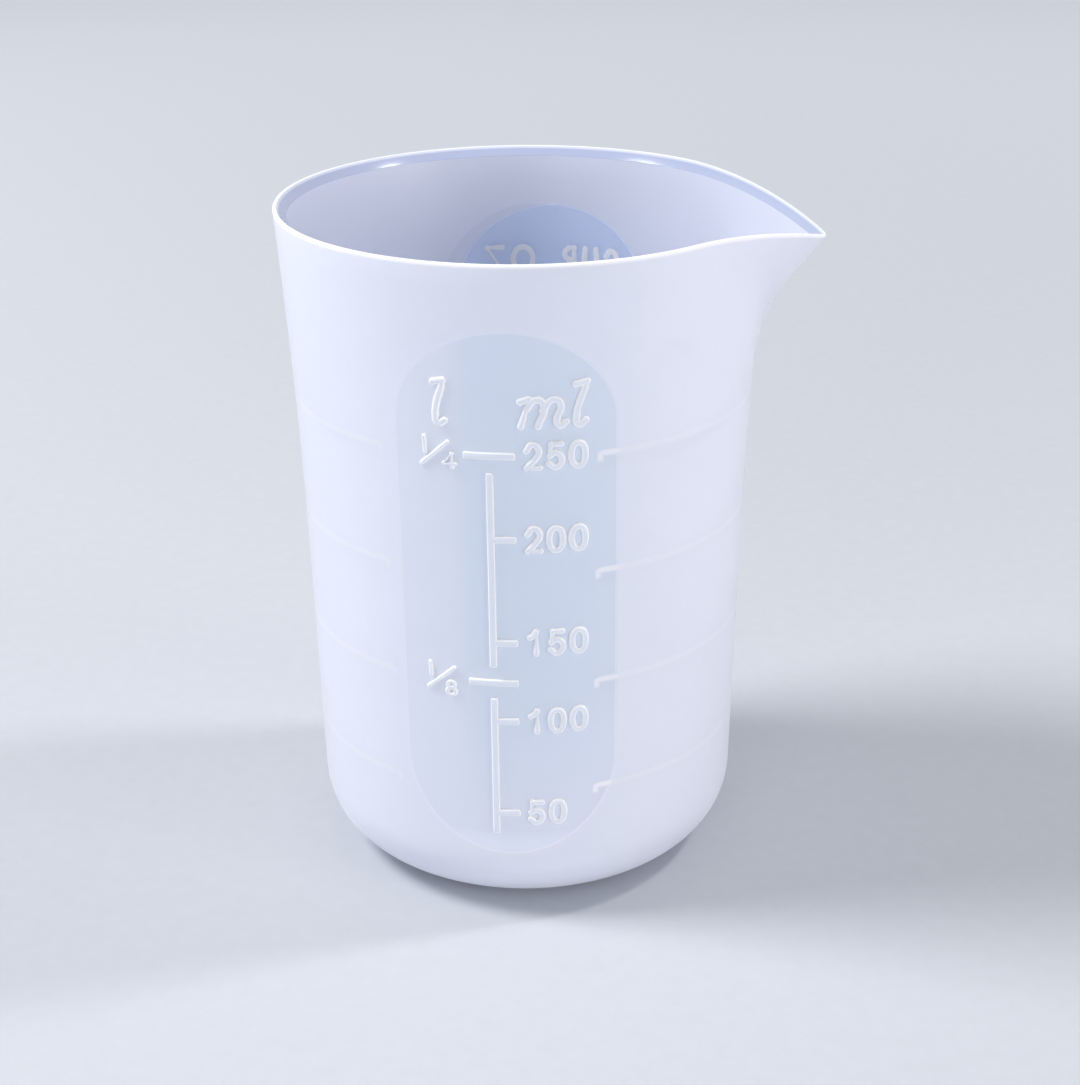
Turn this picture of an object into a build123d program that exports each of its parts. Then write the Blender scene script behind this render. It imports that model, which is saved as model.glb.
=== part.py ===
from build123d import *
from math import acos, asin, cos, degrees, radians, sin, sqrt, tan
import os

# Soft mixing cup with a pouring spout, millimetres, +Z up.
# The origin is the centre of the flat underside. The millilitre window faces -Y, the spout points along +X.

# Cup
cup_height = 106.4
rim_radius = 37.5
foot_radius = 33.66        # outer wall carried straight down to the underside
rim_flare = 1.62           # how far the upper wall curves out beyond the straight draft
flare_start = 50.9         # height where the wall leaves the straight draft
foot_round = 12.1
wall = 2.0
floor_thickness = 2.6
base_height = 11.0         # the base is the floor and the rounded foot up to here

# Rim
rim_bevel = 1.4            # slope inside the mouth
lip_round = 0.3
lip_band = 3.0             # depth of the rim all the way round

# Spout
spout_height = 25.9        # from the rim down to where the keel leaves the wall
keel_round = 26.0          # hollow curve from the wall into the keel
keel_lean = 36.9           # degrees between the wall and the straight keel
spout_nose = 1.0           # radius of the groove at the tip of the spout
dip_setback = 12.0         # how far inside the rim's radius the lip starts to dip
dip_round = 44.4           # curve of the dipping lip, seen from the side
dip_share = 0.9            # how much of its own radius the curve of the dip is carried out
spout_sector = 50.0        # degrees to each side of the spout's middle
spout_level_shares = (0, 0.14, 0.29, 0.445, 0.6, 0.7, 0.8, 0.9, 0.98)
# Degrees from the spout's middle where the level sections are parted: the back of the circle,
# and on the plain circle at the start the flanks and the tip
back_parting, flank_parting, tip_parting = 60.0, 8.0, 0.5

# Clear windows in the frosted wall
window_width = 32.2
window_lift = 0.8          # from the top of the base to the window
window_top_gap = 9.5       # from the top of the window to the rim
window_foot_rise = 16.5    # height of the rounded lower end
window_arch_rise = 14.4    # height of the rounded upper end

# Raised scales, read from outside: left is towards the litre or cup column
mark_width = 1.1
mark_depth = 0.35
spine_gap = 2.6            # between a long bar and the end of a spine
spine_tail = 3.75          # spine below the lowest tick of the front scale
front_spine_place = -2.15
front_bar_left, front_bar_right = -5.9, 1.55
back_spine_place = -1.6
back_bar_left, back_bar_right = -5.0, 1.4
# Heights of the marks, as shares of the cup's height
front_long_shares = {250: 0.7354, 125: 0.3929}
front_tick_shares = {200: 0.6128, 150: 0.4558, 100: 0.3318, 50: 0.1819}
back_long_shares = {8: 0.7140, 6: 0.5500, 4: 0.3860, 2: 0.2200}
ounce_tick_shares = {7: 0.6335, 5: 0.4660, 3: 0.3050}
cup_tick_shares = {"two_thirds": 0.5000, "one_third": 0.2680}

# Ribs inside the wall at each quarter of the cup's measure: a flat ledge on top that thins out below
rib_top_shares = (0.2110, 0.3830, 0.5530, 0.7270)
rib_height = 2.2
rib_depth = 0.5
rib_edge_round = 0.2
rib_turn = 4.4             # degrees that the inside is turned against the windows
rib_gap = 27.7             # degrees from the middle of the gap between the ribs to a rib's end

# One overrun for every cut
overrun = 2.0

spout_start = cup_height - spout_height
dip_start = rim_radius - dip_setback
dip_reach = dip_start + dip_share * dip_round


def draft_radius(z):
    """Radius of the outer wall's straight draft at height z."""
    return foot_radius + (rim_radius - rim_flare - foot_radius) * z / cup_height


def wall_radius(z):
    """Radius of the outer wall at height z, with the flare."""
    climb = max(0, (z - flare_start) / (cup_height - flare_start))
    return draft_radius(z) + rim_flare * climb**2


def round_blank(inset, bottom, foot, top):
    """Solid of revolution that lies inset within the outer wall, from bottom to top."""
    low = Vector(draft_radius(bottom) - inset, bottom)
    start = Vector(draft_radius(flare_start) - inset, flare_start)
    bend = (flare_start + top) / 2
    half = [
        Line((0, bottom), low),
        Line(low, start),
        Bezier(start, (draft_radius(bend) - inset, bend), (wall_radius(top) - inset, top)),
        Line((wall_radius(top) - inset, top), (0, top)),
        Line((0, top), (0, bottom)),
    ]
    face = make_face([edge for line in half for edge in line.edges()])
    corner = face.vertices().sort_by_distance(low)[0]
    return revolve(Plane.XZ * fillet(corner, foot), Axis.Z)


def keel_reach(z):
    """How far the keel of the spout stands out from the wall at height z."""
    rise = max(0, z - spout_start)
    turn = keel_round * sin(radians(keel_lean))
    if rise <= turn:
        return keel_round - sqrt(keel_round**2 - rise**2)
    return keel_round * (1 - cos(radians(keel_lean))) + (rise - turn) * tan(radians(keel_lean))


def polar(radius, angle, centre=0):
    """Point at an angle in degrees from +X, on a circle round (centre, 0)."""
    return Vector(centre + radius * cos(radians(angle)), radius * sin(radians(angle)))


def spout_section(z, inset):
    """Level section at height z: the wall's circle and the tip's small circle, joined by straight flanks."""
    big = wall_radius(z) - inset
    small = spout_nose + wall - inset
    centre = wall_radius(z) + keel_reach(z) - spout_nose - wall
    if keel_reach(z) > 0:
        swing = degrees(acos((big - small) / centre))
        high, front = polar(small, swing, centre), polar(small, 0, centre)
        flank = Line(polar(big, swing), high)
    else:
        # The spout starts as a plain circle, parted where the flanks and the tip begin
        swing = flank_parting
        high, front = polar(big, tip_parting), polar(big, 0)
        flank = ThreePointArc(polar(big, swing), polar(big, (swing + tip_parting) / 2), high)
    half = [
        ThreePointArc(polar(big, 180), polar(big, (180 + back_parting) / 2), polar(big, back_parting)),
        ThreePointArc(polar(big, back_parting), polar(big, (back_parting + swing) / 2), polar(big, swing)),
        flank,
    ]
    tip = ThreePointArc(high, front, Vector(high.X, -high.Y))
    ring = [*half, tip, *[mirror(line, about=Plane.XZ) for line in half]]
    return Pos(0, 0, z) * Face(Wire([edge for line in ring for edge in line.edges()]))


def spouted_blank(inset):
    """Upper part of the cup with its spout, everything that lies inset within the outer face."""
    levels = [spout_start + share * spout_height for share in spout_level_shares]
    return loft([spout_section(z, inset) for z in [*levels, cup_height + overrun]])


def above_the_lip(drop=0):
    """Everything above the line of the rim, which dips over the spout, moved down by drop."""
    centre = Vector(dip_start, cup_height - dip_round)
    turn = degrees(asin((dip_reach - dip_start) / dip_round))
    start = Vector(dip_start, cup_height)
    bend, end = [polar(dip_round, 90 - angle) + centre for angle in (turn / 2, turn)]
    top = cup_height + lip_band + overrun
    side = [
        Line((-dip_reach, cup_height), start),
        ThreePointArc(start, bend, end),
        Line(end, (dip_reach, top)),
        Line((dip_reach, top), (-dip_reach, top)),
        Line((-dip_reach, top), (-dip_reach, cup_height)),
    ]
    face = make_face([edge for line in side for edge in line.edges()])
    return Pos(0, 0, -drop) * extrude(Plane.XZ * face, dip_reach, both=True)


def rim_edges(shell):
    """Edges of the mouth, as two lists: those inside and those outside."""
    inside, outside = [], []
    probe = wall / 4
    for edge in shell.edges():
        point, run = edge @ 0.5, edge % 0.5
        if point.Z < cup_height - spout_height / 3 or edge.geom_type == GeomType.LINE:
            continue
        across = Vector(run.Y, -run.X, 0).normalized() * probe
        if across.dot(Vector(point.X, point.Y, 0)) < 0:
            across = across * -1
        below = point - Vector(0, 0, probe)
        (inside if shell.is_inside(below + across) else outside).append(edge)
    return inside, outside


def moulding():
    """The whole soft shell, before it is parted into its regions."""
    upper = spouted_blank(0) - spouted_blank(wall) - above_the_lip()
    upper = fillet(rim_edges(upper)[1], lip_round)
    upper = chamfer(rim_edges(upper)[0], rim_bevel)
    lower = round_blank(0, 0, foot_round, spout_start)
    return upper + (lower - round_blank(wall, floor_thickness, foot_round - wall, spout_start))


def window_prism(side):
    """Stadium with flattened arches, carried out from the axis through the front (-1) or back (1) wall."""
    half = window_width / 2
    foot = base_height + window_lift + window_foot_rise
    arch = cup_height - window_top_gap - window_arch_rise
    outline = [
        EllipticalCenterArc((0, foot), half, window_foot_rise, start_angle=180, arc_size=180),
        Line((half, foot), (half, arch)),
        EllipticalCenterArc((0, arch), half, window_arch_rise, start_angle=0, arc_size=180),
        Line((-half, arch), (-half, foot)),
    ]
    face = make_face([edge for line in outline for edge in line.edges()])
    reach = rim_radius + overrun
    return extrude(Plane.XZ * face, -side * reach)


def spout_wedge():
    """Sector round the spout, from where its keel starts to above the rim."""
    reach = 2 * rim_radius
    side, front = polar(reach, spout_sector), Vector(2 * reach, 0)
    plan = Polyline((0, 0), side, front, (side.X, -side.Y), close=True)
    return Pos(0, 0, spout_start) * extrude(make_face(plan), spout_height + overrun)


def mark(left, right, low, high):
    """Raised bar between two places across the window and two heights."""
    return Pos((left + right) / 2, (low + high) / 2) * Rectangle(right - left, high - low)


def level_bar(left, right, share):
    height = share * cup_height
    return mark(left, right, height - mark_width / 2, height + mark_width / 2)


def spines(place, bars, lowest):
    """Upright lines between the long bars and from the lowest bar down."""
    heights = sorted((share * cup_height for share in bars), reverse=True)
    feet = [*[height + spine_gap for height in heights[1:]], lowest]
    left, right = place - mark_width / 2, place + mark_width / 2
    return [mark(left, right, foot, head - spine_gap) for head, foot in zip(heights, feet)]


def raised_scale(marks, side):
    """Marks drawn as seen from outside, standing mark_depth out of the front (-1) or back (1) wall."""
    skin = round_blank(-mark_depth, 0, foot_round, spout_start) - round_blank(0, 0, foot_round, spout_start)
    drawing = marks[0]
    for piece in marks[1:]:
        drawing = drawing + piece
    prism = extrude(Plane.XZ * drawing, rim_radius + overrun)
    return skin & (prism if side < 0 else Rot(0, 0, 180) * prism)


def front_scale():
    long_bars = [level_bar(front_bar_left, front_bar_right, share) for share in front_long_shares.values()]
    ticks = [level_bar(front_spine_place, front_bar_right, share) for share in front_tick_shares.values()]
    lowest = min(front_tick_shares.values()) * cup_height - spine_tail
    uprights = spines(front_spine_place, front_long_shares.values(), lowest)
    return raised_scale([*long_bars, *uprights, *ticks], -1)


def back_scale():
    long_bars = [level_bar(back_bar_left, back_bar_right, share) for share in back_long_shares.values()]
    ounces = [level_bar(back_spine_place, back_bar_right, share) for share in ounce_tick_shares.values()]
    cups = [level_bar(back_bar_left, back_spine_place, share) for share in cup_tick_shares.values()]
    lowest = min(back_long_shares.values()) * cup_height - spine_gap - spine_tail
    uprights = spines(back_spine_place, back_long_shares.values(), lowest)
    return raised_scale([*long_bars, *uprights, *ounces, *cups], 1)


def fill_ribs(start):
    """Ribs inside the wall on one side, from a turn of start degrees about the axis."""
    ribs = []
    for share in rib_top_shares:
        top = share * cup_height
        high, low = [Vector(wall_radius(z) - wall, z) for z in (top, top - rib_height)]
        edge = high - Vector(rib_depth, 0)
        face = make_face(Polyline(high, edge, low, close=True).edges())
        face = fillet(face.vertices().sort_by_distance(edge)[0], rib_edge_round)
        ribs.append(Rot(0, 0, start) * revolve(Plane.XZ * face, Axis.Z, 180 - 2 * rib_gap))
    return ribs


def build():
    """Every region by its name."""
    cup = moulding()
    ring_top = above_the_lip(lip_band)
    below = cup - ring_top
    foot = Pos(0, 0, base_height / 2) * Cylinder(2 * rim_radius, base_height)
    body = below - foot
    wedge, front, back = spout_wedge(), window_prism(-1), window_prism(1)
    # Turns are counted from +X; the front window's middle lies at -90 degrees
    spout_side = -90 + rib_gap - rib_turn
    return {
        "cup_base": below & foot,
        "frosted_wall": body - wedge - front - back,
        "pouring_spout": body & wedge,
        "rim_lip": cup & ring_top,
        "front_window": body & front,
        "back_window": body & back,
        "millilitre_scale": front_scale(),
        "cup_and_ounce_scale": back_scale(),
        "spout_side_fill_ribs": Compound(fill_ribs(spout_side)),
        "far_side_fill_ribs": Compound(fill_ribs(spout_side + 180)),
    }


os.makedirs("parts", exist_ok=True)
for node, shape in build().items():
    export_step(shape, f"parts/{node}.step")
    print(node, len(shape.solids()), round(shape.volume, 1))
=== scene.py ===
from math import acos, asin, atan2, cos, hypot, pi, radians, sin, sqrt, tan

import bmesh
import bpy
from mathutils import Matrix, Vector


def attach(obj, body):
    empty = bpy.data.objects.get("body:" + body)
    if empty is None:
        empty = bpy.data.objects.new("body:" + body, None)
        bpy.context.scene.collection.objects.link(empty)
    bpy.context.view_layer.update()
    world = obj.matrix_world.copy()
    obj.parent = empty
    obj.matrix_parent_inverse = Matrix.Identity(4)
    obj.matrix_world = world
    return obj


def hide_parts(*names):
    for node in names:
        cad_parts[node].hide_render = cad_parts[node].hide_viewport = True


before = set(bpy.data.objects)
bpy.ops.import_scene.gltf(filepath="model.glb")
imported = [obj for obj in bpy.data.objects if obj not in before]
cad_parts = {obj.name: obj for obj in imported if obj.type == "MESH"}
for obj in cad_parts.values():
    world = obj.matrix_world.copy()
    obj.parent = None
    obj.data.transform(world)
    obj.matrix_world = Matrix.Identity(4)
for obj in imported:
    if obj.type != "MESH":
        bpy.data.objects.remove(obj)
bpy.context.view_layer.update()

# Soft mixing cup with a pouring spout, moulded in one piece. Sizes are in millimetres and heights count from
# the underside; a mesh is scaled to metres when it is finished. The front window faces -Y, the spout +X.
MM = 0.001

# Cup
CUP_HEIGHT = 106.4
RIM_RADIUS = 37.5
FOOT_RADIUS = 33.66
RIM_FLARE = 1.62
FLARE_START = 50.9
FOOT_ROUND = 12.1
WALL_START = 14            # where the straight wall starts, above the rounded foot
WALL = 2.0
FLOOR_THICKNESS = 2.6

# Rim
RIM_BEVEL = 1.4
LIP_ROUND = 0.3
LIP_BAND = 3.0
EDGE_SOFTNESS = 0.12       # rounding of the rim's two inner edges

# Spout
SPOUT_START = CUP_HEIGHT - 25.9
KEEL_ROUND = 26.0
KEEL_LEAN = radians(36.9)
SPOUT_NOSE = 1.0
DIP_START = RIM_RADIUS - 12.0
DIP_ROUND = 44.4

# Windows: stadiums with flattened arches
WINDOW_WIDTH = 32.2
WINDOW_BOTTOM = 11.8
WINDOW_TOP = CUP_HEIGHT - 9.5
WINDOW_FOOT_RISE = 16.5
WINDOW_ARCH_RISE = 14.4
INSIDE_TURN = radians(-4.4)  # the inside is turned this much against the outside

# Raised scales
MARK_WIDTH = 1.1
MARK_DEPTH = 0.35
MARK_ROOT = 0.1            # how far a bar is sunk into the wall
STROKE_ROOT = 0.12         # and how far a stroke of the lettering is
IMAGE_DEPTH = 0.03         # of the marks' images on the inner face, painted light where they show through
BEND_STEP = 1.5            # a bar is cut across this often, so that it bends round the wall
# Heights of the marks, as shares of the cup's height
FRONT_BARS = {250: 0.7354, 125: 0.3929}
FRONT_TICKS = {200: 0.6128, 150: 0.4558, 100: 0.3318, 50: 0.1819}
BACK_BARS = {8: 0.7140, 6: 0.5500, 4: 0.3860, 2: 0.2200}
OUNCE_TICKS = {7: 0.6335, 5: 0.4660, 3: 0.3050}
CUP_TICKS = {"2/3": 0.5000, "1/3": 0.2680}
SPINE_GAP = 2.6            # from a bar's middle to the end of a spine
SPINE_TAIL = 3.75          # how far a spine runs below the lowest tick
FRONT_SPINE = -2.15
FRONT_BAR_ENDS = (-5.9, 1.55)
BACK_SPINE = -1.6
BACK_BAR_ENDS = (-5.0, 1.4)
BAR_EDGE_ROUND = 0.22
FIGURE_WIDTH, FIGURE_HEIGHT = 2.95, 4.6
FIGURE_PITCH = 3.2
FRONT_FIGURES_LEFT, BACK_FIGURES_LEFT = 2.5, 4.6
LETTER_FOOT, LETTER_HEIGHT = 85.1, 5.0

# Ribs inside the wall
RIB_TOPS = (0.2110, 0.3830, 0.5530, 0.7270)   # as shares of the cup's height
RIB_HEIGHT = 2.2
RIB_DEPTH = 0.5
RIB_EDGE_ROUND = 0.2
RIB_ROOT = 0.05            # how far a rib is sunk into the wall
RIB_GAP = radians(27.7)    # from a window's middle to a rib's end
SEEN_TURN = radians(1.6)   # through the wall, a rib's end is seen this much nearer to the window's middle
SEEN_RISE = 0.9            # and its top this much higher

# Columns of the spun mesh; CROWDING draws them together towards the spout
COLUMNS = 252
CROWDING = 0.72
CUT_REACH = 3.5            # faces this near to a cut are the only ones that it can reach


def draft_radius(z):
    """Radius of the tapered outer wall at height z, without its flare."""
    return FOOT_RADIUS + (RIM_RADIUS - RIM_FLARE - FOOT_RADIUS) * z / CUP_HEIGHT


def wall_radius(z):
    """Radius of the outer wall at height z, without the spout."""
    climb = max(0, (z - FLARE_START) / (CUP_HEIGHT - FLARE_START))
    return draft_radius(z) + RIM_FLARE * climb**2


def keel_reach(z):
    """How far the keel of the spout stands out from the wall at height z."""
    rise = max(0, z - SPOUT_START)
    turn = KEEL_ROUND * sin(KEEL_LEAN)
    if rise <= turn:
        return KEEL_ROUND - sqrt(KEEL_ROUND**2 - rise**2)
    return KEEL_ROUND * (1 - cos(KEEL_LEAN)) + (rise - turn) * tan(KEEL_LEAN)


def section_radius(turn, z, inset):
    """Distance from the axis to the wall, or to a surface inset within it, in the direction turn from +X."""
    big = wall_radius(z) - inset
    small = SPOUT_NOSE + WALL - inset
    centre = wall_radius(z) + keel_reach(z) - SPOUT_NOSE - WALL
    swing = acos(min(1, (big - small) / centre))
    turn = abs(turn)
    if turn >= swing:
        return big
    if turn >= atan2(small * sin(swing), centre + small * cos(swing)):
        return big / cos(swing - turn)
    return centre * cos(turn) + sqrt(max(0, small**2 - (centre * sin(turn))**2))


def lip_height(x):
    """Height of the rim at a distance x towards the spout, where it dips."""
    reach = min(DIP_ROUND, max(0, x - DIP_START))
    return CUP_HEIGHT - DIP_ROUND + sqrt(DIP_ROUND**2 - reach**2)


def smooth_step(share):
    share = min(1, max(0, share))
    return share * share * (3 - 2 * share)


def soft_path(corners, segments):
    """Points of a path through corners (x, z, round), with each round corner as an arc."""
    points = []
    for i, (x, z, size) in enumerate(corners):
        here = Vector((x, z))
        if not size:
            points.append(here)
            continue
        back = (Vector(corners[i - 1][:2]) - here).normalized()
        on = (Vector(corners[i + 1][:2]) - here).normalized()
        half = back.angle(on) / 2
        centre = here + (back + on).normalized() * size / sin(half)
        start = here + back * size / tan(half) - centre
        sweep = start.angle_signed(here + on * size / tan(half) - centre)
        points += [centre + Matrix.Rotation(-sweep * k / segments, 2) @ start for k in range(segments + 1)]
    return points


def finish_piece(name, bm, materials, smooth=True):
    """Makes the piece from a bmesh in millimetres."""
    bmesh.ops.scale(bm, vec=(MM, MM, MM), verts=bm.verts)
    mesh = bpy.data.meshes.new(name)
    bm.to_mesh(mesh)
    bm.free()
    for material in materials:
        mesh.materials.append(material)
    for face in mesh.polygons:
        face.use_smooth = smooth
    piece = bpy.data.objects.new(name, mesh)
    bpy.context.scene.collection.objects.link(piece)
    return piece


# Shader maths

class Wire:
    """A socket that takes part in sums."""

    def __init__(self, finish, socket):
        self.finish, self.socket = finish, socket

    def _sum(self, operation, *values):
        return self.finish.add("ShaderNodeMath", {"operation": operation}, list(values))

    def __add__(self, other):
        return self._sum("ADD", self, other)

    __radd__ = __add__

    def __sub__(self, other):
        return self._sum("SUBTRACT", self, other)

    def __rsub__(self, other):
        return self._sum("SUBTRACT", other, self)

    def __mul__(self, other):
        return self._sum("MULTIPLY", self, other)

    __rmul__ = __mul__

    def root(self):
        return self._sum("SQRT", self)

    def inside(self, low, high, soft):
        """1 between low and high, with soft edges outside them."""
        rise = self.finish.add("ShaderNodeMapRange", {"interpolation_type": "SMOOTHSTEP"},
                               {"Value": self, "From Min": low - soft, "From Max": low})
        fall = self.finish.add("ShaderNodeMapRange", {"interpolation_type": "SMOOTHSTEP"},
                               {"Value": self, "From Min": high, "From Max": high + soft})
        return rise * (1 - fall)

    def largest(self, other):
        return self._sum("MAXIMUM", self, other)

    def smallest(self, other):
        return self._sum("MINIMUM", self, other)


class Finish:
    """A material on one Principled shader, and the nodes that feed it."""

    def __init__(self, name, **constants):
        self.material = bpy.data.materials.new(name)
        self.material.use_nodes = True
        self.tree = self.material.node_tree
        self.shader = self.tree.nodes["Principled BSDF"]
        for socket, value in constants.items():
            self.shader.inputs[socket.replace("_", " ")].default_value = value

    def add(self, kind, settings, sockets, output=0):
        """A node of one kind, its settings first and then its sockets, as values or wires."""
        node = self.tree.nodes.new(kind)
        for name, value in settings.items():
            setattr(node, name, value)
        pairs = sockets.items() if isinstance(sockets, dict) else enumerate(sockets)
        for key, value in pairs:
            self.feed(node.inputs[key], value)
        return Wire(self, node.outputs[output])

    def feed(self, socket, value):
        if isinstance(value, Wire):
            self.tree.links.new(value.socket, socket)
        else:
            socket.default_value = value

    def place(self):
        return self.add("ShaderNodeTexCoord", {}, {}, "Object")

    def noise(self, size, detail=2.0, roughness=0.5):
        """Noise with blotches of a size in millimetres."""
        sockets = {"Vector": self.place(), "Scale": 1 / (size * MM), "Detail": detail,
                   "Roughness": roughness}
        return self.add("ShaderNodeTexNoise", {}, sockets, 0)

    def axes(self):
        """Object coordinates in millimetres, as three wires."""
        where = self.add("ShaderNodeVectorMath", {"operation": "SCALE"}, {0: self.place(), "Scale": 1 / MM})
        return [self.add("ShaderNodeSeparateXYZ", {}, [where], k) for k in range(3)]

    def rib_lines(self):
        """Mask of painted highlights: the ribs' lit upper edges and ends, as they show through the wall."""
        x, y, z = self.axes()
        turned = [x * cos(INSIDE_TURN) + y * sin(INSIDE_TURN), y * cos(INSIDE_TURN) - x * sin(INSIDE_TURN)]
        aside = self.add("ShaderNodeMath", {"operation": "ABSOLUTE"}, [turned[0]])
        round_way = self.add("ShaderNodeMath", {"operation": "ARCTAN2"}, [aside, turned[1]])
        end = RIB_GAP - SEEN_TURN
        from_end = (round_way - end).smallest(pi - end - round_way) * RIM_RADIUS
        mask = 0
        for share in RIB_TOPS:
            below = share * CUP_HEIGHT + SEEN_RISE - z
            corner = (1 - from_end).largest(0)
            line = (below - 0.3 * corner * corner).inside(0.1, 0.45, 0.5) * from_end.inside(0.2, 100, 0.5)
            hook = below.inside(0.5, 1.2, 0.7) * from_end.inside(0.1, 0.5, 0.5)
            mask = line.largest(hook) if mask == 0 else mask.largest(line).largest(hook)
        return mask

    def from_window_middle(self, turn):
        """0 in the middle of a window and 1 on its outline, for a window that is turned from its place."""
        x, y, z = self.axes()
        side = (x * cos(turn) + y * sin(turn)) * (2 / WINDOW_WIDTH)
        above = (z - (WINDOW_TOP - WINDOW_ARCH_RISE)).largest(0) * (1 / WINDOW_ARCH_RISE)
        under = (WINDOW_BOTTOM + WINDOW_FOOT_RISE - z).largest(0) * (1 / WINDOW_FOOT_RISE)
        return (side * side + above * above + under * under).root()

    def below_lip(self):
        """How far a point is below the rim, in millimetres."""
        x, _, z = self.axes()
        reach = (x - DIP_START).largest(0).smallest(DIP_ROUND)
        return (DIP_ROUND**2 - reach * reach).root() + (CUP_HEIGHT - DIP_ROUND) - z

    def slope(self):
        """0 where the surface faces away from the cup's axis and 1 where it lies across that."""
        x, y, _ = self.axes()
        out = self.add("ShaderNodeVectorMath", {"operation": "NORMALIZE"},
                       [self.add("ShaderNodeCombineXYZ", {}, [x, y, 0.0])])
        normal = self.add("ShaderNodeNewGeometry", {}, {}, "Normal")
        facing = self.add("ShaderNodeVectorMath", {"operation": "DOT_PRODUCT"}, [out, normal], "Value")
        return 1 - self.add("ShaderNodeMath", {"operation": "ABSOLUTE"}, [facing])

    def mix_colour(self, share, low, high):
        sockets = {0: share, 6: low, 7: high}
        return self.add("ShaderNodeMix", {"data_type": "RGBA"}, sockets, 2)

    def bump(self, height, distance, strength=1.0):
        sockets = {"Strength": strength, "Distance": distance * MM, "Height": height}
        self.feed(self.shader.inputs["Normal"], self.add("ShaderNodeBump", {}, sockets))


def paint(red, green, blue):
    """Linear colour from screen values of 0 to 255."""
    def linear(value):
        value /= 255
        return value / 12.92 if value <= 0.04045 else ((value + 0.055) / 1.055) ** 2.4
    return (linear(red), linear(green), linear(blue), 1)


# Finishes

MILK = paint(242, 244, 254)
MILK_SHADE = paint(235, 238, 250)


def frosted_silicone():
    """Fine matt outside of the cup, milky and a little see-through, painted whitest along the lip as a
    painted highlight, with lighter lines painted where the ribs' lit edges show through, a painted
    highlight.
    """
    finish = Finish("frosted_silicone", IOR=1.41, Sheen_Weight=0.35, Sheen_Roughness=0.3)
    cloud = finish.noise(22, 3)
    grain = finish.noise(0.35, 2)
    # painted highlight: the lip is painted whiter, and is also made more opaque
    lip = finish.below_lip().inside(-1, 0.25, 0.5)
    milk = finish.mix_colour(cloud, MILK, MILK_SHADE)
    milk = finish.mix_colour(0.3 * finish.noise(1.6, 4, 0.6), milk, paint(226, 230, 245))
    # painted highlights: lighter lines for the ribs' lit upper edges seen through the wall, and the whiter
    # lip
    lit = finish.mix_colour((0.28 * finish.rib_lines()).largest(lip), milk, paint(252, 251, 255))
    finish.feed(finish.shader.inputs["Base Color"], lit)
    finish.feed(finish.shader.inputs["Alpha"], 0.86 + 0.13 * lip)
    finish.feed(finish.shader.inputs["Roughness"], 0.46 + 0.12 * grain)
    finish.bump(grain, 0.02, 0.5)
    return finish.material


def satin_silicone():
    """Inside of the cup, smoother than the outside. The bevel under the lip is polished and painted darker,
    a painted shade. The lip's inner edge is painted whiter, a painted highlight, and the wall is painted
    darker where an outer window lies behind it, a painted shade.
    """
    finish = Finish("satin_silicone", IOR=1.41)
    cloud = finish.noise(26, 3)
    ripple = finish.noise(9, 1)
    bevel = finish.below_lip().inside(-1, RIM_BEVEL, 0.1)
    # painted shade: darker where an outer window lies behind the wall
    window_painted_shade = finish.from_window_middle(0).inside(-1, 1, 0.01)
    satin = finish.mix_colour(cloud, paint(232, 236, 251), paint(227, 231, 248))
    satin = finish.mix_colour(0.35 * window_painted_shade, satin, paint(200, 206, 238))
    # painted shade: the bevel under the lip is painted darker
    satin = finish.mix_colour(bevel, satin, paint(187, 196, 226))
    # painted highlight: the lip's inner edge is painted whiter, and is also made more opaque
    lip = finish.below_lip().inside(-1, 0.15, 0.35)
    satin = finish.mix_colour(0.55 * lip, satin, paint(250, 250, 255))
    finish.feed(finish.shader.inputs["Base Color"], satin)
    finish.feed(finish.shader.inputs["Alpha"], 0.72 + 0.2 * lip)
    finish.feed(finish.shader.inputs["Roughness"], 0.34 + 0.06 * cloud - 0.22 * bevel)
    finish.bump(ripple, 0.03, 0.1)
    return finish.material


def clear_outside():
    """Polished outer face of a window, faintly blue, paler at its foot, with its left side painted paler as
    painted light where the far frosted wall shows through it, a paler border line as a painted highlight,
    and the ribs' lit ends painted on as lighter lines, a painted highlight."""
    finish = Finish("clear_silicone", IOR=1.41)
    cloud = finish.noise(30, 2)
    # painted highlight: a paler line along the window's border
    border_highlight = finish.from_window_middle(0).inside(0.978, 2, 0.01)
    # painted highlights: the ribs' lit ends seen through the wall, and the border line
    marks = (0.8 * finish.rib_lines()).largest(0.35 * border_highlight)
    x, _, z = finish.axes()
    # painted light: the left side is paler where the far frosted wall shows through the window
    far_wall_painted_light = 0.6 * x.inside(-100, -8.5, 4)
    foot = 0.9 * z.inside(-10, 10, 34)
    merge = 0.75 * z.inside(-10, 13, 17)
    tint = finish.mix_colour(cloud, paint(236, 243, 255), paint(231, 240, 255))
    tint = finish.mix_colour(far_wall_painted_light, tint, paint(247, 247, 255))
    tint = finish.mix_colour(foot, tint, paint(238, 240, 254))
    finish.feed(finish.shader.inputs["Base Color"], finish.mix_colour(marks, tint, paint(252, 250, 255)))
    finish.feed(finish.shader.inputs["Alpha"], (0.76 + 0.08 * foot + 0.14 * marks).largest(merge * 1.2))
    finish.feed(finish.shader.inputs["Roughness"], 0.12 + 0.08 * cloud)
    finish.bump(finish.noise(7, 1), 0.04, 0.3)
    return finish.material


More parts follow.
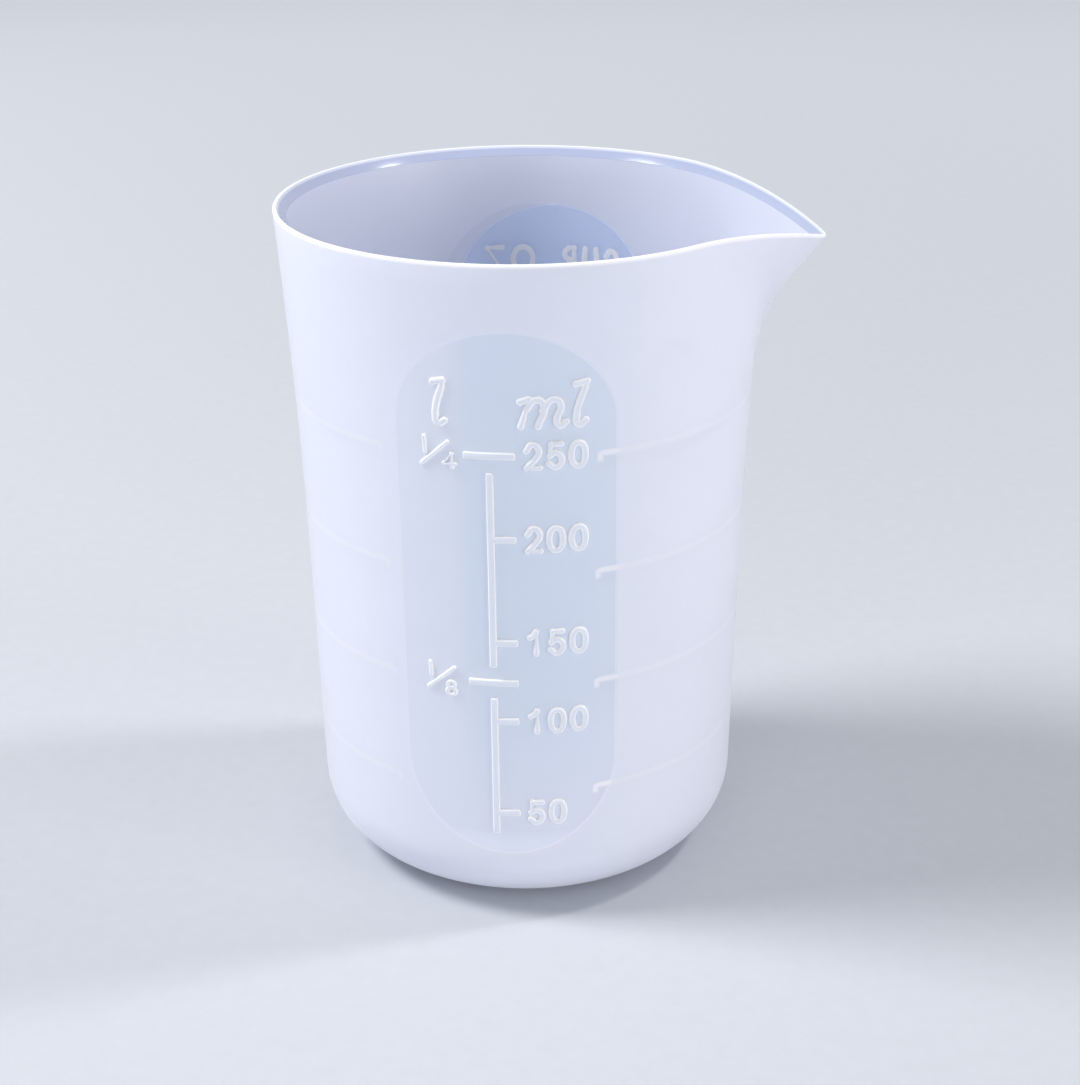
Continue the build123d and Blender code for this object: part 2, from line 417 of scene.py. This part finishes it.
def clear_inside():
    """Inner face of a window, bluer and darker than the outer face as painted shade for the little light
    that comes through, which shows the paler outline of the outer face as a painted highlight.
    """
    finish = Finish("clear_silicone_inside", IOR=1.41)
    cloud = finish.noise(24, 2)
    # painted highlight: a paler, more opaque line along the window's outline
    outline = finish.from_window_middle(INSIDE_TURN).inside(0.985, 2, 0.008)
    # painted shade: bluer and darker than the outer face, for the little light that comes through the window
    tint = finish.mix_colour(cloud, paint(209, 223, 254), paint(204, 219, 252))
    tint = finish.mix_colour(0.3 * outline, tint, paint(240, 244, 255))
    finish.feed(finish.shader.inputs["Base Color"], tint)
    finish.feed(finish.shader.inputs["Alpha"], 0.76 + 0.2 * outline)
    finish.feed(finish.shader.inputs["Roughness"], 0.2 + 0.08 * cloud)
    finish.bump(finish.noise(8, 1), 0.03, 0.1)
    return finish.material


def raised_silicone():
    """Raised marks, pale all over and painted whitest along their rounded edges, a painted highlight."""
    finish = Finish("raised_silicone", IOR=1.41)
    cloud = finish.noise(4, 2)
    # painted highlight: edges that slope away from the wall are painted whiter
    edge = finish.slope().inside(0.12, 2, 0.1)
    top = finish.mix_colour(cloud, paint(243, 246, 255), paint(238, 242, 255))
    finish.feed(finish.shader.inputs["Base Color"], finish.mix_colour(edge, top, paint(255, 254, 255)))
    finish.feed(finish.shader.inputs["Alpha"], 0.87 + 0.1 * edge)
    finish.feed(finish.shader.inputs["Roughness"], 0.26 + 0.1 * cloud)
    finish.bump(finish.noise(0.6, 2), 0.02, 0.3)
    return finish.material


def shown_through():
    """The marks as they show through the wall on its inner face, painted near white as painted light."""
    finish = Finish("marks_shown_through", IOR=1.41)
    cloud = finish.noise(3, 2)
    # painted light: the marks' images are painted near white
    finish.feed(finish.shader.inputs["Base Color"],
                finish.mix_colour(cloud, paint(255, 255, 255), paint(246, 248, 255)))
    finish.feed(finish.shader.inputs["Alpha"], 0.8 + 0.1 * cloud)
    finish.feed(finish.shader.inputs["Roughness"], 0.3 + 0.1 * cloud)
    return finish.material


def floor_finish():
    """Pale floor, which glows faintly to the eye and in reflections where it is far away."""
    finish = Finish("pale_floor", Roughness=0.7)
    speckle = finish.noise(3, 4, 0.6)
    finish.feed(finish.shader.inputs["Base Color"],
                finish.mix_colour(speckle, paint(196, 199, 206), paint(203, 206, 213)))
    finish.bump(speckle, 0.1, 0.3)
    x, y, _ = finish.axes()
    far = (x * x + y * y).root().inside(900, 2 * FLOOR_REACH, 750)
    seen = finish.add("ShaderNodeLightPath", {}, {}, "Is Camera Ray")
    seen = seen.largest(finish.add("ShaderNodeLightPath", {}, {}, "Is Glossy Ray"))
    glow = finish.mix_colour(far * seen, (0, 0, 0, 1), paint(122, 124, 129))
    finish.feed(finish.shader.inputs["Emission Color"], glow)
    finish.shader.inputs["Emission Strength"].default_value = 1
    return finish.material


FROSTED, SATIN = frosted_silicone(), satin_silicone()
WINDOW_OUTSIDE, WINDOW_INSIDE = clear_outside(), clear_inside()
RAISED, SEEN_THROUGH_PAINTED_LIGHT = raised_silicone(), shown_through()
OUTSIDE_SLOT, INSIDE_SLOT, OUTER_WINDOW_SLOT, INNER_WINDOW_SLOT = 0, 1, 2, 3


# The moulding

def cup_profile():
    """Half section of the cup, from the middle of the underside round the lip to the middle of the floor."""
    plain = [WALL_START + 3.0 * k for k in range(12)]
    flaring = [FLARE_START + 2.5 * k for k in range(1, 12)]
    running_out = [SPOUT_START + 1.3 * k for k in range(18)]
    levels = [z for z in plain + flaring if z < SPOUT_START - 1] + running_out
    foot = soft_path([(0, 0, 0), (draft_radius(0), 0, FOOT_ROUND),
                      (draft_radius(levels[0]), levels[0], 0)], 14)
    outer = [Vector((wall_radius(z), z)) for z in levels[1:]]
    rim = soft_path([(wall_radius(levels[-1]), levels[-1], 0),
                     (wall_radius(CUP_HEIGHT), CUP_HEIGHT, LIP_ROUND),
                     (wall_radius(CUP_HEIGHT) - WALL + RIM_BEVEL, CUP_HEIGHT, EDGE_SOFTNESS),
                     (wall_radius(CUP_HEIGHT) - WALL, CUP_HEIGHT - RIM_BEVEL, EDGE_SOFTNESS),
                     (wall_radius(levels[-1]) - WALL, levels[-1], 0)], 4)
    inner = [Vector((wall_radius(z) - WALL, z)) for z in reversed(levels[:-1])]
    dish = soft_path([(draft_radius(levels[0]) - WALL, levels[0], 0),
                      (draft_radius(FLOOR_THICKNESS) - WALL, FLOOR_THICKNESS, FOOT_ROUND - WALL),
                      (0, FLOOR_THICKNESS, 0)], 12)
    return foot + outer + rim[1:-1] + [rim[-1]] + inner[:-1] + dish


def run_out(point):
    """Moves a point of the spun cup to its place in the run of the spout and the dip of the lip."""
    x, y, z = point
    radius, turn = hypot(x, y), atan2(y, x)
    turn -= CROWDING * sin(turn)
    if z > SPOUT_START:
        inset = wall_radius(z) - radius
        share = smooth_step((z - SPOUT_START) / (CUP_HEIGHT - LIP_BAND - SPOUT_START))
        level = z
        for _ in range(12):
            radius = section_radius(turn, level, inset)
            level = z - share * (CUP_HEIGHT - lip_height(radius * cos(turn)))
        z = level
        radius = section_radius(turn, level, inset)
    return Vector((radius * cos(turn), radius * sin(turn), z))


def window_outline(steps=18):
    """Outline of a window in the plane across the cup, as points (x, z) in order round it."""
    half = WINDOW_WIDTH / 2
    foot, arch = WINDOW_BOTTOM + WINDOW_FOOT_RISE, WINDOW_TOP - WINDOW_ARCH_RISE
    lower = [(half * cos(pi + pi * k / steps), foot + WINDOW_FOOT_RISE * sin(pi + pi * k / steps))
             for k in range(steps + 1)]
    upper = [(half * cos(pi * k / steps), arch + WINDOW_ARCH_RISE * sin(pi * k / steps))
             for k in range(steps + 1)]
    return lower + upper


def cut_window(bm, facing, outside):
    """Cuts the outline of a window into one skin of the wall. facing is the angle of its middle from +X."""
    across = Vector((-sin(facing), cos(facing), 0))
    ahead = Vector((cos(facing), sin(facing), 0))
    faces = []
    for face in bm.faces:
        middle = face.calc_center_median()
        skin = hypot(middle.x, middle.y) > wall_radius(middle.z) - WALL / 2
        if skin == outside and middle.dot(ahead) > 0 and WINDOW_BOTTOM - 4 < middle.z < WINDOW_TOP + 4:
            if abs(middle.dot(across)) < WINDOW_WIDTH / 2 + 2:
                faces.append(face)
    outline = window_outline()
    for (x0, z0), (x1, z1) in zip(outline, outline[1:] + outline[:1]):
        corner = across * x0 + Vector((0, 0, z0))
        normal = (across * (z1 - z0) - Vector((0, 0, x1 - x0))).normalized()
        away = {face: (face.calc_center_median() - corner).dot(normal) for face in faces}
        near = [face for face in faces if abs(away[face]) < CUT_REACH]
        parts = {part for face in near for part in (face, *face.edges, *face.verts)}
        kept = [face for face in faces if away[face] <= -CUT_REACH]
        cut = bmesh.ops.bisect_plane(bm, geom=list(parts), dist=1e-5, plane_co=corner, plane_no=normal)
        faces = kept + [part for part in cut["geom"] if isinstance(part, bmesh.types.BMFace)
                        and (part.calc_center_median() - corner).dot(normal) < 0]
    for face in faces:
        face.material_index = OUTER_WINDOW_SLOT if outside else INNER_WINDOW_SLOT


def soft_moulding():
    """The cup in one skin: its half section is spun, run out to the spout, and marked with the windows."""
    bm = bmesh.new()
    chain = [bm.verts.new((point.x, 0, point.y)) for point in cup_profile()]
    for one, other in zip(chain, chain[1:]):
        bm.edges.new((one, other))
    bmesh.ops.spin(bm, geom=list(bm.verts) + list(bm.edges), cent=(0, 0, 0), axis=(0, 0, 1), angle=2 * pi,
                   steps=COLUMNS, use_merge=True)
    bmesh.ops.remove_doubles(bm, verts=bm.verts, dist=1e-4)
    bmesh.ops.recalc_face_normals(bm, faces=bm.faces)
    for face in bm.faces:
        middle = face.calc_center_median()
        inset = wall_radius(middle.z) - hypot(middle.x, middle.y)
        inside = inset > WALL - RIM_BEVEL + EDGE_SOFTNESS if middle.z > FOOT_ROUND else face.normal.z > 0.02
        face.material_index = INSIDE_SLOT if inside else OUTSIDE_SLOT
    for vert in bm.verts:
        vert.co = run_out(vert.co)
    front, back = -pi / 2, pi / 2
    cut_window(bm, front, True)
    cut_window(bm, back, True)
    cut_window(bm, front + INSIDE_TURN, False)
    cut_window(bm, back + INSIDE_TURN, False)
    return finish_piece("cup_moulding", bm, [FROSTED, SATIN, WINDOW_OUTSIDE, WINDOW_INSIDE])


cup = soft_moulding()
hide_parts("cup_base", "frosted_wall", "pouring_spout", "rim_lip", "front_window", "back_window")
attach(cup, "root")


# Raised marks. A drawing is flat, x to the right and y up as seen from outside, and is then laid on
# the wall.

def lay_on_wall(bm, side, inside=False):
    """Bends a flat drawing, whose z is how far it stands out, onto the front (-1) or back (1) wall."""
    for vert in bm.verts:
        x, height, lift = vert.co
        turn = asin(x / wall_radius(height))
        reach = wall_radius(height) + lift
        if inside:
            reach = wall_radius(height) - WALL - lift * IMAGE_DEPTH / MARK_DEPTH
        vert.co = (-side * reach * sin(turn), side * reach * cos(turn), height)
    if inside:
        bmesh.ops.reverse_faces(bm, faces=bm.faces)


def raised_marks(name, side, bm, *nodes):
    """Marks from a flat drawing, and their near-white image on the inner face of the wall, which is painted
    light where they show through.
    """
    image = bm.copy()
    lay_on_wall(bm, side)
    lay_on_wall(image, side, inside=True)
    marks = finish_piece(name, bm, [RAISED])
    if nodes:
        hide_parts(*nodes)
    for piece in (marks, finish_piece(name + "_shown_through", image, [SEEN_THROUGH_PAINTED_LIGHT], smooth=False)):
        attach(piece, "root")


def bar(bm, left, right, low, high):
    """A bar with softened top edges, cut across so that it can bend round the wall."""
    made = bmesh.ops.create_cube(bm, size=1)
    centre = Vector(((left + right) / 2, (low + high) / 2, (MARK_DEPTH - MARK_ROOT) / 2))
    size = Matrix.Diagonal((right - left, high - low, MARK_DEPTH + MARK_ROOT, 1))
    bmesh.ops.transform(bm, matrix=Matrix.Translation(centre) @ size, verts=made["verts"])
    upper = [edge for vert in made["verts"] for edge in vert.link_edges
             if all(end.co.z > 0 for end in edge.verts)]
    uprights = [edge for vert in made["verts"] for edge in vert.link_edges
                if abs(edge.verts[0].co.z - edge.verts[1].co.z) > MARK_DEPTH]
    bmesh.ops.bevel(bm, geom=list(set(upper + uprights)), offset=BAR_EDGE_ROUND,
                    offset_type="OFFSET", segments=3, profile=0.5, affect="EDGES", material=-1)
    span = max(right - left, high - low)
    along = Vector((1, 0, 0)) if right - left > high - low else Vector((0, 1, 0))
    start = Vector((left, low, 0))
    for k in range(1, int(span / BEND_STEP) + 1):
        near = [part for part in (*bm.verts, *bm.edges, *bm.faces)
                if _within(part, left, right, low, high)]
        bmesh.ops.bisect_plane(bm, geom=near, dist=1e-5, plane_co=start + along * k * BEND_STEP,
                               plane_no=along)


def _within(part, left, right, low, high):
    verts = [part] if isinstance(part, bmesh.types.BMVert) else part.verts
    slack = 0.001
    return all(left - slack <= vert.co.x <= right + slack and low - slack <= vert.co.y <= high + slack
               for vert in verts)


def level_bar(bm, left, right, share):
    height = share * CUP_HEIGHT
    bar(bm, left, right, height - MARK_WIDTH / 2, height + MARK_WIDTH / 2)


def spines(bm, place, shares, lowest):
    heights = sorted((share * CUP_HEIGHT for share in shares), reverse=True)
    feet = [*[height + SPINE_GAP for height in heights[1:]], lowest]
    for head, foot in zip(heights, feet):
        bar(bm, place - MARK_WIDTH / 2, place + MARK_WIDTH / 2, foot, head - SPINE_GAP)


def front_bars():
    bm = bmesh.new()
    for share in FRONT_BARS.values():
        level_bar(bm, *FRONT_BAR_ENDS, share)
    for share in FRONT_TICKS.values():
        level_bar(bm, FRONT_SPINE, FRONT_BAR_ENDS[1], share)
    spines(bm, FRONT_SPINE, FRONT_BARS.values(), min(FRONT_TICKS.values()) * CUP_HEIGHT - SPINE_TAIL)
    return bm


def back_bars():
    bm = bmesh.new()
    for share in BACK_BARS.values():
        level_bar(bm, *BACK_BAR_ENDS, share)
    for share in OUNCE_TICKS.values():
        level_bar(bm, BACK_SPINE, BACK_BAR_ENDS[1], share)
    for share in CUP_TICKS.values():
        level_bar(bm, BACK_BAR_ENDS[0], BACK_SPINE, share)
    spines(bm, BACK_SPINE, BACK_BARS.values(),
           min(BACK_BARS.values()) * CUP_HEIGHT - SPINE_GAP - SPINE_TAIL)
    return bm


raised_marks("millilitre_bars", -1, front_bars(), "millilitre_scale")
raised_marks("cup_and_ounce_bars", 1, back_bars(), "cup_and_ounce_scale")


# Lettering: strokes in a box of 1 by 1, smooth through (x, y) and sharp at (x, y, SHARP)
SHARP = True
LOOP = "loop"
SIGNS = {
    "0": [[LOOP, (0.5, 1), (1, 0.5), (0.5, 0), (0, 0.5)]],
    "1": [[(0.12, 0.74), (0.38, 0.82), (0.6, 1, SHARP), (0.6, 0, SHARP)]],
    "2": [[(0.04, 0.72), (0.5, 1), (0.96, 0.72), (0.66, 0.36), (0.04, 0, SHARP), (1, 0, SHARP)]],
    "3": [[(0.06, 0.78), (0.5, 1), (0.9, 0.76), (0.42, 0.54, SHARP), (0.96, 0.27), (0.5, 0), (0.02, 0.22)]],
    "4": [[(1, 0.28, SHARP), (0, 0.28, SHARP), (0.7, 1, SHARP), (0.7, 0, SHARP)]],
    "5": [[(0.9, 1, SHARP), (0.2, 1, SHARP), (0.08, 0.5, SHARP), (0.52, 0.63), (0.97, 0.32), (0.5, 0),
           (0.02, 0.18)]],
    "6": [[(0.88, 0.84), (0.52, 1), (0.06, 0.5), (0.5, 0), (0.96, 0.31), (0.52, 0.62), (0.08, 0.34)]],
    "7": [[(0.02, 1, SHARP), (0.98, 1, SHARP), (0.5, 0.5), (0.34, 0, SHARP)]],
    "8": [[LOOP, (0.5, 1), (0.9, 0.77), (0.5, 0.54), (0.1, 0.77)],
          [LOOP, (0.5, 0.54), (0.98, 0.27), (0.5, 0), (0.02, 0.27)]],
    "C": [[(0.98, 0.74), (0.54, 1), (0.02, 0.5), (0.54, 0), (0.98, 0.26)]],
    "U": [[(0.04, 1, SHARP), (0.04, 0.36), (0.5, 0), (0.96, 0.36), (0.96, 1, SHARP)]],
    "P": [[(0.06, 0, SHARP), (0.06, 1, SHARP), (0.6, 1, SHARP), (0.98, 0.74), (0.6, 0.47, SHARP),
           (0.06, 0.47, SHARP)]],
    "O": [[LOOP, (0.5, 1), (1, 0.5), (0.5, 0), (0, 0.5)]],
    "Z": [[(0.02, 1, SHARP), (0.98, 1, SHARP), (0.02, 0, SHARP), (0.98, 0, SHARP)]],
}


class Drawing:
    """Strokes of one width, drawn flat: x to the right and y up as seen from outside."""

    def __init__(self, width):
        self.width, self.ends = width, []
        self.curve = bpy.data.curves.new("strokes", "CURVE")
        self.curve.dimensions = "3D"
        self.curve.bevel_depth = width / 2
        self.curve.bevel_resolution = 3
        self.curve.resolution_u = self.curve.render_resolution_u = 6

    def stroke(self, *points):
        """A stroke through points (x, y), smooth, or (x, y, SHARP)."""
        closed = points[0] == LOOP
        points = points[1:] if closed else points
        spline = self.curve.splines.new("BEZIER")
        spline.bezier_points.add(len(points) - 1)
        spline.use_cyclic_u = closed
        for knot, (x, y, *sharp) in zip(spline.bezier_points, points):
            knot.co = (x, y, 0)
            knot.handle_left_type = knot.handle_right_type = "VECTOR" if sharp else "AUTO"
        if not closed:
            self.ends += [points[0][:2], points[-1][:2]]
        self.ends += [point[:2] for point in points if len(point) > 2]

    def sign(self, name, left, low, wide, high):
        """One figure or letter in the box whose outer corner is (left, low)."""
        half = self.width / 2
        for stroke in SIGNS[name]:
            self.stroke(*[point if point == LOOP else
                          (left + half + point[0] * (wide - self.width),
                           low + half + point[1] * (high - self.width), *point[2:]) for point in stroke])

    def raised(self):
        """The strokes as a bmesh, round at their ends and flat on top, without their hidden half."""
        holder = bpy.data.objects.new("strokes", self.curve)
        bpy.context.scene.collection.objects.link(holder)
        bpy.context.view_layer.update()
        mesh = bpy.data.meshes.new_from_object(holder.evaluated_get(bpy.context.evaluated_depsgraph_get()))
        bm = bmesh.new()
        for x, y in self.ends:
            bmesh.ops.create_uvsphere(bm, u_segments=12, v_segments=8, radius=self.width / 2,
                                      matrix=Matrix.Translation((x, y, 0)))
        bm.from_mesh(mesh)
        bpy.data.objects.remove(holder)
        bpy.data.meshes.remove(mesh)
        for vert in bm.verts:
            rise = max(-1, min(1, 2 * vert.co.z / self.width))
            vert.co.z = MARK_DEPTH * (sqrt(max(0, 1 - (1 - rise * rise) ** 2)) if rise > 0 else rise)
        bmesh.ops.bisect_plane(bm, geom=[*bm.verts, *bm.edges, *bm.faces], dist=1e-5,
                               plane_co=(0, 0, -STROKE_ROOT), plane_no=(0, 0, -1), clear_outer=True)
        bmesh.ops.remove_doubles(bm, verts=bm.verts, dist=1e-4)
        return bm


def lettering(name, side, draw, width):
    """Raised marks from a function that draws them in strokes of one width."""
    drawing = Drawing(width)
    draw(drawing)
    raised_marks(name, side, drawing.raised())


def millilitre_figures(drawing):
    for value, share in {**FRONT_BARS, **FRONT_TICKS}.items():
        if value != 125:
            for k, figure in enumerate(str(value)):
                drawing.sign(figure, FRONT_FIGURES_LEFT + FIGURE_PITCH * k,
                             share * CUP_HEIGHT - FIGURE_HEIGHT / 2, FIGURE_WIDTH, FIGURE_HEIGHT)


def litre_fractions(drawing):
    drawing.stroke((-11.5, 80.5), (-11.35, 78.2))
    drawing.stroke((-12.0, 76.3), (-8.1, 80.0))
    drawing.sign("4", -9.0, 75.8, 2.3, 2.8)
    drawing.stroke((-11.75, 44.1), (-11.6, 42.0))
    drawing.stroke((-12.1, 40.0), (-8.1, 43.7))
    drawing.sign("8", -9.6, 38.8, 2.0, 2.9)


def litre_letters(drawing):
    """Slanted l and ml with small serifs."""
    drawing.stroke((-9.9, 89.0), (-8.5, 89.3, SHARP), (-9.7, 83.6), (-9.3, 82.8), (-8.4, 83.3))
    drawing.stroke((10.0, 88.9), (11.6, 89.2, SHARP), (10.1, 83.7), (10.4, 82.8), (11.4, 83.4))
    drawing.stroke((2.3, 86.5), (3.5, 86.9, SHARP), (2.4, 82.8, SHARP))
    drawing.stroke((3.2, 85.4), (4.6, 86.8), (5.6, 86.1), (4.8, 82.8, SHARP))
    drawing.stroke((5.5, 85.2), (7.0, 86.8), (8.0, 86.0), (7.4, 83.6), (7.8, 82.8), (8.7, 83.4))


def ounce_figures(drawing):
    for value, share in BACK_BARS.items():
        drawing.sign(str(value), BACK_FIGURES_LEFT, share * CUP_HEIGHT - FIGURE_HEIGHT / 2,
                     FIGURE_WIDTH, FIGURE_HEIGHT)


def cup_fractions(drawing):
    def fraction(top, bottom, height):
        drawing.sign(top, -12.0, height, 1.7, 2.6)
        drawing.stroke((-11.9, height - 1.9), (-8.0, height + 1.9))
        drawing.sign(bottom, -8.9, height - 2.5, 1.9, 2.6)
    fraction("3", "4", BACK_BARS[6] * CUP_HEIGHT)
    fraction("1", "2", BACK_BARS[4] * CUP_HEIGHT)
    fraction("1", "4", BACK_BARS[2] * CUP_HEIGHT)
    fraction("2", "3", CUP_TICKS["2/3"] * CUP_HEIGHT)
    fraction("1", "3", CUP_TICKS["1/3"] * CUP_HEIGHT)
    drawing.sign("1", -9.6, BACK_BARS[8] * CUP_HEIGHT - 2.0, 2.2, 4.0)


def cup_and_ounce_letters(drawing):
    for sign, left, wide in (("C", -15.0, 3.1), ("U", -11.2, 3.1), ("P", -7.3, 2.9),
                             ("O", 0.3, 4.6), ("Z", 5.8, 3.8)):
        drawing.sign(sign, left, LETTER_FOOT, wide, LETTER_HEIGHT)


lettering("millilitre_figures", -1, millilitre_figures, 1.0)
lettering("litre_fractions", -1, litre_fractions, 0.65)
lettering("litre_letters", -1, litre_letters, 1.1)
lettering("ounce_figures", 1, ounce_figures, 0.9)
lettering("cup_fractions", 1, cup_fractions, 0.48)
lettering("cup_and_ounce_letters", 1, cup_and_ounce_letters, 1.0)


# Fill ribs

def fill_ribs(name, start):
    """Four ledges inside the wall, from a turn of start about the axis."""
    bm = bmesh.new()
    sweep = pi - 2 * RIB_GAP
    for share in RIB_TOPS:
        top = share * CUP_HEIGHT
        high, low = [wall_radius(z) - WALL for z in (top, top - RIB_HEIGHT)]
        path = soft_path([(high + RIB_ROOT, top, 0), (high - RIB_DEPTH, top, RIB_EDGE_ROUND),
                          (low + RIB_ROOT, top - RIB_HEIGHT, 0)], 4)
        chain = [bm.verts.new((point.x * cos(start), point.x * sin(start), point.y)) for point in path]
        bmesh.ops.spin(bm, geom=[bm.faces.new(chain)], cent=(0, 0, 0), axis=(0, 0, 1), angle=sweep,
                       steps=80)
    bmesh.ops.recalc_face_normals(bm, faces=bm.faces)
    piece = finish_piece(name, bm, [SATIN], smooth=True)
    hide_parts(name)
    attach(piece, "root")


rib_start = -pi / 2 + INSIDE_TURN + RIB_GAP
fill_ribs("spout_side_fill_ribs", rib_start)
fill_ribs("far_side_fill_ribs", rib_start + pi)


# Floor, light and camera
FLOOR_REACH = 2500


def stage_floor():
    bm = bmesh.new()
    bmesh.ops.create_grid(bm, x_segments=1, y_segments=1, size=FLOOR_REACH)
    floor = finish_piece("floor", bm, [floor_finish()], smooth=False)


SKY_LIGHT, SKY_SEEN = (0.386, 0.399, 0.42, 1), paint(222, 226, 233)


def soft_lamp(name, place, aim, size, power, colour):
    lamp = bpy.data.lights.new(name, "AREA")
    lamp.shape = "DISK"
    lamp.size, lamp.energy, lamp.color = size, power, colour
    holder = bpy.data.objects.new(name, lamp)
    bpy.context.scene.collection.objects.link(holder)
    holder.location = place
    holder.rotation_euler = (Vector(aim) - Vector(place)).to_track_quat("-Z", "Y").to_euler()


def light():
    """Four soft lamps, and a world that looks paler than the light that it gives."""
    world = bpy.data.worlds.new("studio")
    bpy.context.scene.world = world
    world.use_nodes = True
    nodes, links = world.node_tree.nodes, world.node_tree.links
    path, sky = nodes.new("ShaderNodeLightPath"), nodes.new("ShaderNodeMix")
    sky.data_type = "RGBA"
    sky.inputs[6].default_value, sky.inputs[7].default_value = SKY_LIGHT, SKY_SEEN
    seen = nodes.new("ShaderNodeMath")
    seen.operation = "MAXIMUM"
    links.new(path.outputs["Is Camera Ray"], seen.inputs[0])
    links.new(path.outputs["Is Glossy Ray"], seen.inputs[1])
    links.new(seen.outputs[0], sky.inputs[0])
    links.new(sky.outputs[2], nodes["Background"].inputs["Color"])
    soft_lamp("left", (-0.66, -0.05, 0.86), (0, 0, 0.06), 0.35, 8.2, (1.0, 1.0, 1.0))
    soft_lamp("front", (-0.35, -0.95, 0.2), (0, 0, 0.06), 0.4, 1.8, (0.92, 0.97, 1.0))
    soft_lamp("right", (0.9, -0.45, 0.2), (0, 0, 0.06), 0.4, 3.0, (1.0, 0.965, 0.93))
    soft_lamp("right_top", (0.6, 0.15, 0.88), (0, 0, 0.1), 0.12, 2.8, (1.0, 1.0, 1.0))


# The photograph's camera: 1080 by 1085 picture, lens and place found from the cup's outline
PICTURE_HIGH = 1085
FOCAL_PIXELS = 2022.08
CAMERA_PLACE = (0.02367, -0.30074, 0.18018)
VIEW_PITCH, VIEW_YAW, VIEW_ROLL = 0.408591, 0.008, 0.00844
CUP_TURN = radians(4.5)    # how far the cup is turned from the camera's line


def set_camera():
    lens = bpy.data.cameras.new("camera")
    lens.sensor_width = 36
    lens.lens = FOCAL_PIXELS * lens.sensor_width / PICTURE_HIGH
    lens.clip_start = 0.01
    pitch, yaw = VIEW_PITCH, VIEW_YAW
    ahead = Vector((sin(yaw) * cos(pitch), cos(yaw) * cos(pitch), -sin(pitch)))
    right = Vector((cos(yaw), -sin(yaw), 0))
    above = right.cross(ahead)
    right, above = (right * cos(VIEW_ROLL) - above * sin(VIEW_ROLL),
                    above * cos(VIEW_ROLL) + right * sin(VIEW_ROLL))
    turned = Matrix.Rotation(CUP_TURN, 3, "Z") @ Matrix((right, above, -ahead)).transposed()
    camera = bpy.data.objects.new("camera", lens)
    camera.matrix_world = Matrix.Translation(CAMERA_PLACE) @ turned.to_4x4()
    bpy.context.scene.collection.objects.link(camera)
    bpy.context.scene.camera = camera


stage_floor()
light()
set_camera()
bpy.context.scene.view_settings.view_transform = "Standard"
